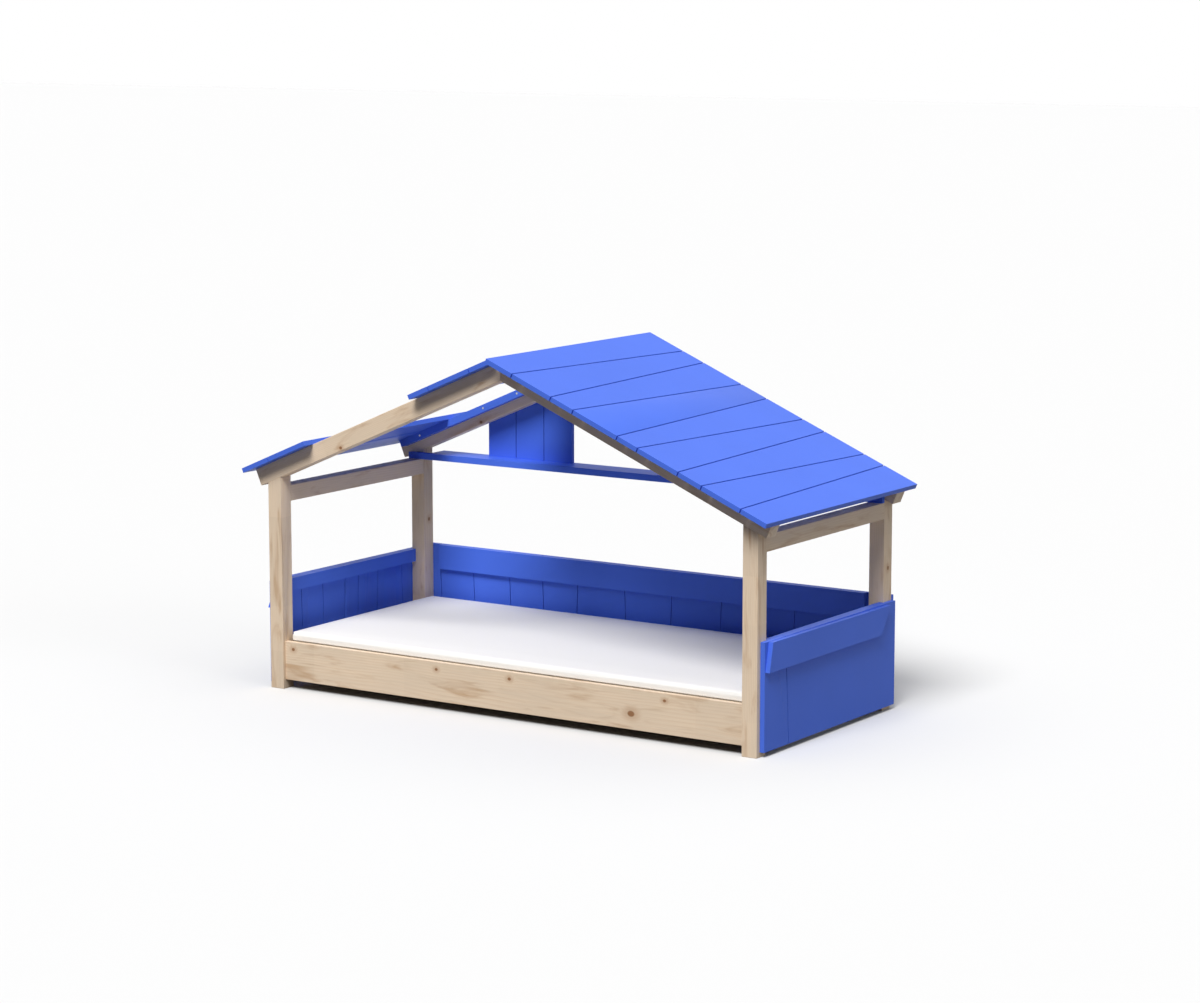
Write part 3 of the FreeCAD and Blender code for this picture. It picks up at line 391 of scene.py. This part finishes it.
def zinc_steel():
    """Drawn steel, barrel plated with zinc: a grey metal with a soft blurred shine and slight cloudiness."""
    material, tree, shader = blank_material("zinc_plated_steel")
    raw = add(tree, "ShaderNodeTexCoord").outputs["Object"]
    # Clouds in the plating, 4 mm across.
    cloud = add(tree, "ShaderNodeTexNoise", {"Vector": raw, "Scale": 260.0, "Detail": 3.0}).outputs[0]
    rough = add(tree, "ShaderNodeMapRange", {"Value": cloud, 3: 0.28, 4: 0.46}).outputs[0]
    tone = add(tree, "ShaderNodeMix", {"Factor": cloud, "A": linear("BDBFC2"), "B": linear("D6D6D2")},
               data_type="RGBA").outputs["Result"]
    tree.links.new(tone, shader.inputs["Base Color"])
    tree.links.new(rough, shader.inputs["Roughness"])
    shader.inputs["Metallic"].default_value = 1.0
    return material


def turned_beech():
    """Plain beech turned to a rod, with no oil on it: fine grained, pale pinkish brown, short dark flecks."""
    material, tree, shader = blank_material("turned_beech")
    raw = add(tree, "ShaderNodeTexCoord").outputs["Object"]
    # Ray flecks 3 mm long and 0.5 mm wide.
    stretched = add(tree, "ShaderNodeMapping", {"Vector": raw, "Scale": (2000.0, 330.0, 2000.0)}).outputs[0]
    fleck = add(tree, "ShaderNodeTexNoise", {"Vector": stretched, "Scale": 1.0, "Detail": 2.0}).outputs[0]
    share = add(tree, "ShaderNodeMapRange", {"Value": fleck, 1: 0.45, 2: 0.7}).outputs[0]
    tone = add(tree, "ShaderNodeMix", {"Factor": share, "A": linear("D9B48C"), "B": linear("B98B60")},
               data_type="RGBA").outputs["Result"]
    tree.links.new(tone, shader.inputs["Base Color"])
    shader.inputs["Roughness"].default_value = 0.62
    return material


def knitted_cover():
    """Bleached polyester knit pulled over foam: white and matt, with fine even loops.

    The loops give the top a faint texture, with painted shade in the gaps between them, and the fibre gives
    it a slight fuzz at grazing angles.
    """
    finish = bpy.context.scene.bed_finish
    material, tree, shader = blank_material("knitted_mattress_cover")
    raw = add(tree, "ShaderNodeTexCoord").outputs["Object"]
    # Loops 1 mm apart in a real cover, drawn 3.2 mm apart so that they show.
    turned = add(tree, "ShaderNodeMapping",
                 {"Vector": raw, "Rotation": (0.0, 0.0, math.radians(45))}).outputs[0]
    loops = add(tree, "ShaderNodeTexVoronoi", {"Vector": turned, "Scale": 310.0, "Randomness": 0.35},
                feature="SMOOTH_F1").outputs["Distance"]
    # Unevenness of the knit, 11 mm across.
    pile = add(tree, "ShaderNodeTexNoise", {"Vector": raw, "Scale": 90.0, "Detail": 4.0}).outputs[0]
    # Painted shade: the white is darkened by up to 5 per cent towards the gaps between the loops, where the
    # bump sinks.
    shade = add(tree, "ShaderNodeMapRange", {"Value": loops, 1: 0.1, 2: 0.7, 3: 1.0, 4: 0.95}).outputs[0]
    colour = add(tree, "ShaderNodeVectorMath", {0: finish.cover[:3], "Scale": shade},
                 operation="SCALE").outputs[0]
    tree.links.new(colour, shader.inputs["Base Color"])
    height = add(tree, "ShaderNodeMath", {0: pile, 1: 0.6, 2: loops}, operation="MULTIPLY_ADD").outputs[0]
    bump = add(tree, "ShaderNodeBump", {"Height": height, "Strength": 0.35, "Distance": 0.5 * MILLIMETRE},
               invert=True)
    tree.links.new(bump.outputs[0], shader.inputs["Normal"])
    shader.inputs["Roughness"].default_value = 0.88
    shader.inputs["Sheen Weight"].default_value = 0.15
    shader.inputs["Sheen Roughness"].default_value = 0.5
    return material


def scattered_knots(node, face_axis, grain_axis, seed):
    """Places and half sizes of a pine piece's small knots, at random along it and across it."""
    low, high = (np.array(corner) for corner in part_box(node))
    chance = np.random.default_rng(seed)
    count = max(1, round((high - low)[grain_axis] / KNOT_SPACING))
    shares = chance.uniform(0.15, 0.85, (count, 3))
    shares[:, grain_axis] = (np.arange(count) + chance.uniform(0.15, 0.85, count)) / count
    size = chance.uniform(SMALLEST_KNOT, LARGEST_KNOT, count)
    places = low + shares * (high - low)
    radii = np.repeat(size[:, None], 3, axis=1)
    radii[:, grain_axis] *= 1.4
    radii[:, face_axis] = THROUGH
    return [(tuple(place), tuple(radius)) for place, radius in zip(places, radii)]


def grow(nodes, turn, face_axis, grain_axis, seed, joint=PLANK_JOINT):
    """Gives each pine piece its own stem: its grain turned to follow it, its own pith and its own knots."""
    chance = np.random.default_rng(seed)
    for number, node in enumerate(nodes):
        pith = (chance.uniform(-5, 5), chance.uniform(0.05, 0.12), chance.uniform(0.03, 0.10))
        if node in CLEAR_PIECES:
            knots = ()
        elif node in SEEN_KNOTS:
            knots = SEEN_KNOTS[node]
        else:
            knots = scattered_knots(node, face_axis, grain_axis, seed * 100 + number)
        piece = dress(node, oiled_pine(f"oiled_pine_{node}", turn, pith, knots, joint))
        ease_edges(piece, PINE_EDGE)


def box_lattice(cells):
    """Every lattice point on the surface of a box of cells, each axis from -1 to 1, and its four-sided faces.

    A face of the box is a grid over two axes with the third held at one end. Points that two faces share are
    joined by numbering each by its place in the lattice.
    """
    keys, faces, offset = [], [], 0
    for axis in range(3):
        first, second = (axis + 1) % 3, (axis + 2) % 3
        for end in (0, cells[axis]):
            rows, columns = np.meshgrid(
                np.arange(cells[first] + 1), np.arange(cells[second] + 1), indexing="ij")
            place = np.empty(rows.shape + (3,), int)
            place[..., first], place[..., second], place[..., axis] = rows, columns, end
            keys.append(place.reshape(-1, 3))
            index = offset + np.arange(rows.size).reshape(rows.shape)
            quads = np.stack((index[:-1, :-1], index[1:, :-1], index[1:, 1:], index[:-1, 1:]), axis=-1)
            quads = quads.reshape(-1, 4)
            faces.append(quads if end else quads[:, ::-1])
            offset += rows.size
    places, which = np.unique(np.concatenate(keys), axis=0, return_inverse=True)
    return places * 2.0 / np.array(cells) - 1.0, which.reshape(-1)[np.concatenate(faces)]


def round_off(first, second, radius):
    """Two distances in from two faces that meet, moved so that their square corner becomes a quarter circle.

    Where both are under the radius, the larger of the two steps out from the arc's centre is kept as the
    distance from it, and the direction stays as it is.
    """
    first_step = np.clip(radius - first, 0, None)
    second_step = np.clip(radius - second, 0, None)
    away = np.hypot(first_step, second_step)
    share = np.divide(np.maximum(first_step, second_step), away, out=np.ones_like(away), where=away > 0)
    return first + first_step * (1 - share), second + second_step * (1 - share)


def foam_block(low, high, settings):
    """Points and faces of the mattress: a box lattice whose upright corners and long edges are rounded off.

    x and y are rounded first, as distances in from the two nearest sides, then z against the distance in from
    the nearest side. The top rises by the crown times (1 - x^2)(1 - y^2). The lattice is drawn closer towards
    the sides by taking 0.4 of each share and 0.6 of the sine of its quarter turn.
    """
    low = np.array(low) + (settings.inset, settings.inset, 0.0)
    high = np.array(high) - settings.inset
    centre, half = (low + high) / 2, (high - low) / 2
    points, faces = box_lattice(MATTRESS_CELLS)
    points = EVEN_SHARE * points + SINE_SHARE * np.sin(points * math.pi / 2)
    inside_x, inside_y = round_off(
        (1 - abs(points[:, 0])) * half[0], (1 - abs(points[:, 1])) * half[1], settings.corner)
    nearest = np.minimum(inside_x, inside_y)
    depth = (1 - abs(points[:, 2])) * half[2]
    radius = np.where(points[:, 2] > 0, settings.edge, settings.edge * UNDERSIDE_ROUNDING)
    moved, depth = round_off(nearest, depth, radius)
    shift = moved - nearest
    plan = np.stack((half[0] - inside_x, half[1] - inside_y), axis=1)
    core = np.array(half[:2]) - settings.corner
    outward = np.where(plan > core, plan - core, 0)
    length = np.hypot(outward[:, 0], outward[:, 1])
    straight = np.stack((inside_x <= inside_y, inside_y < inside_x), axis=1).astype(float)
    outward = np.divide(outward, length[:, None], out=straight, where=length[:, None] > 0)
    plan = np.sign(points[:, :2]) * (plan - outward * shift[:, None])
    rise = settings.crown * (1 - points[:, 0] ** 2) * (1 - points[:, 1] ** 2) * (points[:, 2] > 0.99)
    height = np.where(points[:, 2] > 0, half[2] - settings.crown - depth + rise, depth - half[2])
    return np.column_stack((plan, height)) + centre, faces


def mesh_piece(name, points, faces, material):
    """A new object at the origin with these points and faces."""
    mesh = bpy.data.meshes.new(name)
    mesh.from_pydata(points.tolist(), [], faces.tolist())
    mesh.materials.append(material)
    mesh.shade_smooth()
    piece = bpy.data.objects.new(name, mesh)
    bpy.context.scene.collection.objects.link(piece)
    return piece


def points_of(mesh):
    """The places of a mesh's points, one row each."""
    points = np.empty(len(mesh.vertices) * 3)
    mesh.vertices.foreach_get("co", points)
    return points.reshape(-1, 3)


def fill_cover(piece, settings):
    """Swells the cover with Blender's Cloth, and keeps each point's move under the swell setting."""
    scene = bpy.context.scene
    before = points_of(piece.data)
    cloth = piece.modifiers.new("cover", "CLOTH")
    cloth.settings.use_pressure = True
    cloth.settings.uniform_pressure_force = FILL_PRESSURE
    cloth.settings.effector_weights.gravity = 0.0
    cloth.settings.quality = 5
    cloth.collision_settings.use_collision = False
    for number in range(1, FILL_FRAMES + 1):
        scene.frame_set(number)
    filled = piece.evaluated_get(bpy.context.evaluated_depsgraph_get())
    after = points_of(filled.data)
    piece.modifiers.remove(cloth)
    scene.frame_set(1)
    move = after - before
    move[before[:, 2] < before[:, 2].min() + settings.edge] *= UNDERSIDE_SWELL
    length = np.linalg.norm(move, axis=1, keepdims=True)
    move *= np.minimum(1, settings.swell / np.maximum(length, 1e-9))
    piece.data.vertices.foreach_set("co", (before + move).reshape(-1))
    piece.data.update()


def shape_sides(piece, settings):
    """Presses a soft crease into the sides, below the edge that rolls over the top, and bulges the front out.

    Each point moves inwards by the crease's depth times a bell curve of its height from the crease and times
    exp(-distance in from the side / 10 mm). The crease's own height wanders by up to 1.5 mm along the side,
    as a sum of two sines. Above the front rail the front also moves out by the overhang, which grows from
    nothing to its full size between 0.5 and 1.5 mm over the rail. Heights under 3 mm over the rail sink to
    their square divided by 3 mm, so that the bulge lies close on the rail.
    """
    low, high = (np.array(corner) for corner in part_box("mattress"))
    centre, half = (low + high)[:2] / 2, (high - low)[:2] / 2
    points = points_of(piece.data)
    plan = points[:, :2] - centre
    near = np.exp(-np.clip(half - abs(plan), 0, None) / SIDE_REACH)
    along = plan.sum(axis=1)
    wander = MILLIMETRE * (np.sin(9 * along) + 0.5 * np.sin(23 * along + 1))
    height = points[:, 2] - (points[:, 2].max() - settings.crown - settings.crease_drop) - wander
    bell = np.exp(-(height / settings.crease_width) ** 2)
    points[:, :2] -= np.sign(plan) * near * (settings.crease_depth * bell)[:, None]
    rail_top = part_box("front_bed_rail")[1][2]
    over_rail = (points[:, 2] - rail_top) / MILLIMETRE
    front = near[:, 1] * (plan[:, 1] < 0)
    close = (over_rail > 0) & (over_rail < SINK_HEIGHT)
    sunk = np.where(close, over_rail - over_rail ** 2 / SINK_HEIGHT, 0.0)
    points[:, 2] -= sunk * front * MILLIMETRE
    points[:, 1] -= settings.overhang * front * np.clip(over_rail - 0.5, 0, 1)
    piece.data.vertices.foreach_set("co", points.reshape(-1))
    piece.data.update()


def aimed(obj, ahead):
    """Turns an object that looks along its own -Z, so that it looks along a direction."""
    obj.rotation_euler = Vector(ahead).to_track_quat("-Z", "Y").to_euler()


def direct_rays(tree):
    """1 for a ray from the camera or from a reflection or clear piece, 0 for a ray that lights a surface."""
    path = add(tree, "ShaderNodeLightPath")
    seen = path.outputs["Is Camera Ray"]
    for name in ("Is Glossy Ray", "Is Transmission Ray"):
        seen = add(tree, "ShaderNodeMath", {0: seen, 1: path.outputs[name]}, operation="MAXIMUM").outputs[0]
    return seen


def studio_floor(settings):
    """Matt white paper sweep that holds the bed's soft shadow.

    It shows to the camera and in reflections as white paper, and throws less light back on the bed than that.
    """
    material, tree, shader = blank_material("white_paper_sweep")
    raw = add(tree, "ShaderNodeTexCoord").outputs["Object"]
    # Tooth of the paper, drawn 25 mm across so that it shows.
    tooth = add(tree, "ShaderNodeTexNoise", {"Vector": raw, "Scale": 40.0, "Detail": 3.0}).outputs[0]
    rough = add(tree, "ShaderNodeMapRange", {"Value": tooth, 3: 0.86, 4: 0.94}).outputs[0]
    tree.links.new(rough, shader.inputs["Roughness"])
    shader.inputs["Specular IOR Level"].default_value = 0.0
    dim = [settings.bounce * channel for channel in settings.floor[:3]] + [1.0]
    paper = add(tree, "ShaderNodeMix", {"Factor": direct_rays(tree), "A": dim, "B": settings.floor},
                data_type="RGBA").outputs["Result"]
    tree.links.new(paper, shader.inputs["Base Color"])
    return material


def studio_world(settings):
    """White surround: plain white to the camera and in reflections, and a light on the bed from overhead."""
    world = bpy.data.worlds.new("studio")
    bpy.context.scene.world = world
    world.use_nodes = True
    tree = world.node_tree
    tree.nodes.clear()
    direction = add(tree, "ShaderNodeTexCoord").outputs["Generated"]
    upward = add(tree, "ShaderNodeSeparateXYZ", {0: direction}).outputs[2]
    dome = add(tree, "ShaderNodeMapRange", {"Value": upward, 1: 0.5, 2: 0.8, 3: 0.02, 4: settings.dome},
               interpolation_type="SMOOTHSTEP").outputs[0]
    strength = add(tree, "ShaderNodeMix", {"Factor": direct_rays(tree), "A": dome, "B": 1.0},
                   data_type="FLOAT").outputs[0]
    light = add(tree, "ShaderNodeBackground", {"Color": (1.0, 1.0, 1.0, 1.0), "Strength": strength})
    add(tree, "ShaderNodeOutputWorld", {"Surface": light.outputs[0]})


def far_lamp(name, energy, spread, place):
    """A lamp so far away that it lights the whole floor alike, shining from a place towards the origin.

    The spread is the angle that it fills, which blurs the shadows as a wide softbox does.
    """
    light = bpy.data.lights.new(name, "SUN")
    light.energy = energy
    light.angle = spread
    obj = bpy.data.objects.new(name, light)
    obj.location = place
    aimed(obj, -Vector(place))
    bpy.context.scene.collection.objects.link(obj)


def photo_camera():
    """The photograph's camera: its place, a 98 mm view on a 36 mm wide frame, level and 9 degrees down."""
    view = bpy.data.cameras.new("photo_view")
    view.lens = CAMERA_LENS
    view.sensor_fit = "HORIZONTAL"
    view.sensor_width = CAMERA_FRAME
    view.clip_end = CAMERA_REACH
    obj = bpy.data.objects.new("photo_view", view)
    obj.location = CAMERA_PLACE
    level = math.cos(CAMERA_DOWN)
    aimed(obj, (math.sin(CAMERA_YAW) * level, math.cos(CAMERA_YAW) * level, -math.sin(CAMERA_DOWN)))
    bpy.context.scene.collection.objects.link(obj)
    bpy.context.scene.camera = obj


class HOUSEBED_OT_pine_frame(bpy.types.Operator):
    """Oiled pine on the posts, rafters, rails, beams, cleats and slats"""

    bl_idname = "house_bed.pine_frame"
    bl_label = "Pine frame"

    def execute(self, context):
        grow(POSTS, (0.0, QUARTER_TURN, 0.0), 1, 2, 11, joint=POST_JOINT)
        grow(ALONG_LENGTH, (0.0, 0.0, 0.0), 1, 0, 12)
        grow(ALONG_DEPTH, (0.0, 0.0, -QUARTER_TURN), 0, 1, 13)
        grow(LEFT_SLOPE, (0.0, PITCH, 0.0), 1, 0, 14)
        grow(RIGHT_SLOPE, (0.0, -PITCH, 0.0), 1, 0, 15)
        return {"FINISHED"}


class HOUSEBED_OT_painted_boards(bpy.types.Operator):
    """Satin blue paint on the roof, gable, panels, aprons and battens, and on the screws in the panels"""

    bl_idname = "house_bed.painted_boards"
    bl_label = "Painted boards"

    def execute(self, context):
        paint = satin_paint()
        for node in RIGHT_ROOF + LEFT_ROOF + ROOF_BATTENS + GABLE + PANELS:
            ease_edges(dress(node, paint), PAINTED_EDGE)
        for node in PAINTED_SCREWS:
            dress(node, paint)
        return {"FINISHED"}


class HOUSEBED_OT_fittings(bpy.types.Operator):
    """Zinc plated brackets and screws, and plain beech dowels"""

    bl_idname = "house_bed.fittings"
    bl_label = "Fittings"

    def execute(self, context):
        steel, beech = zinc_steel(), turned_beech()
        for node in SCREWS:
            dress(node, steel)
        ease_edges(dress("corner_brackets", steel), STEEL_EDGE)
        for node in DOWELS:
            dress(node, beech)
        return {"FINISHED"}


class HOUSEBED_OT_mattress(bpy.types.Operator):
    """White foam mattress in a knitted cover"""

    bl_idname = "house_bed.mattress"
    bl_label = "Mattress"

    def execute(self, context):
        settings = context.scene.bed_mattress
        points, faces = foam_block(*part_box("mattress"), settings)
        piece = mesh_piece("mattress_in_cover", points, faces, knitted_cover())
        fill_cover(piece, settings)
        shape_sides(piece, settings)
        smooth = piece.modifiers.new("finer", "SUBSURF")
        smooth.levels = smooth.render_levels = 1
        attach(piece, "mattress")
        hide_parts("mattress")
        return {"FINISHED"}


class HOUSEBED_OT_studio(bpy.types.Operator):
    """Pale floor, two soft lamps, white surround and the photograph's camera"""

    bl_idname = "house_bed.studio"
    bl_label = "Studio"

    def execute(self, context):
        settings = context.scene.bed_studio
        corners = FLOOR_REACH * np.array(((-1, -1, 0), (1, -1, 0), (1, 1, 0), (-1, 1, 0)))
        floor = mesh_piece("floor", corners, np.array(((0, 1, 2, 3),)), studio_floor(settings))
        studio_world(settings)
        far_lamp("broad_lamp", settings.key, settings.spread, BROAD_LAMP_PLACE)
        far_lamp("side_lamp", settings.side, settings.spread, SIDE_LAMP_PLACE)
        photo_camera()
        context.scene.view_settings.view_transform = "Standard"
        return {"FINISHED"}


class HOUSEBED_PT_maker(bpy.types.Panel):
    """Lists the bed's pieces, finishes and studio"""

    bl_idname = "HOUSEBED_PT_maker"
    bl_label = "House Frame Bed"
    bl_space_type = "VIEW_3D"
    bl_region_type = "UI"
    bl_category = "House Bed"

    def draw(self, context):
        for group in (context.scene.bed_finish, context.scene.bed_mattress, context.scene.bed_studio):
            column = self.layout.column(align=True)
            for name in group.__annotations__:
                column.prop(group, name)
        for operator in OPERATORS:
            self.layout.operator(operator.bl_idname)


GROUPS = {"bed_finish": FinishSettings, "bed_mattress": MattressSettings, "bed_studio": StudioSettings}
OPERATORS = (
    HOUSEBED_OT_studio,
    HOUSEBED_OT_pine_frame,
    HOUSEBED_OT_painted_boards,
    HOUSEBED_OT_fittings,
    HOUSEBED_OT_mattress,
)


def register():
    for name, group in GROUPS.items():
        bpy.utils.register_class(group)
        setattr(bpy.types.Scene, name, PointerProperty(type=group))
    for kind in OPERATORS + (HOUSEBED_PT_maker,):
        bpy.utils.register_class(kind)


def unregister():
    for kind in (HOUSEBED_PT_maker,) + OPERATORS[::-1]:
        bpy.utils.unregister_class(kind)
    for name, group in GROUPS.items():
        delattr(bpy.types.Scene, name)
        bpy.utils.unregister_class(group)


def main():
    """Registers the add-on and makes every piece."""
    register()
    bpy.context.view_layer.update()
    bpy.ops.house_bed.studio()
    bpy.ops.house_bed.pine_frame()
    bpy.ops.house_bed.painted_boards()
    bpy.ops.house_bed.fittings()
    bpy.ops.house_bed.mattress()


if __name__ == "__main__":
    main()
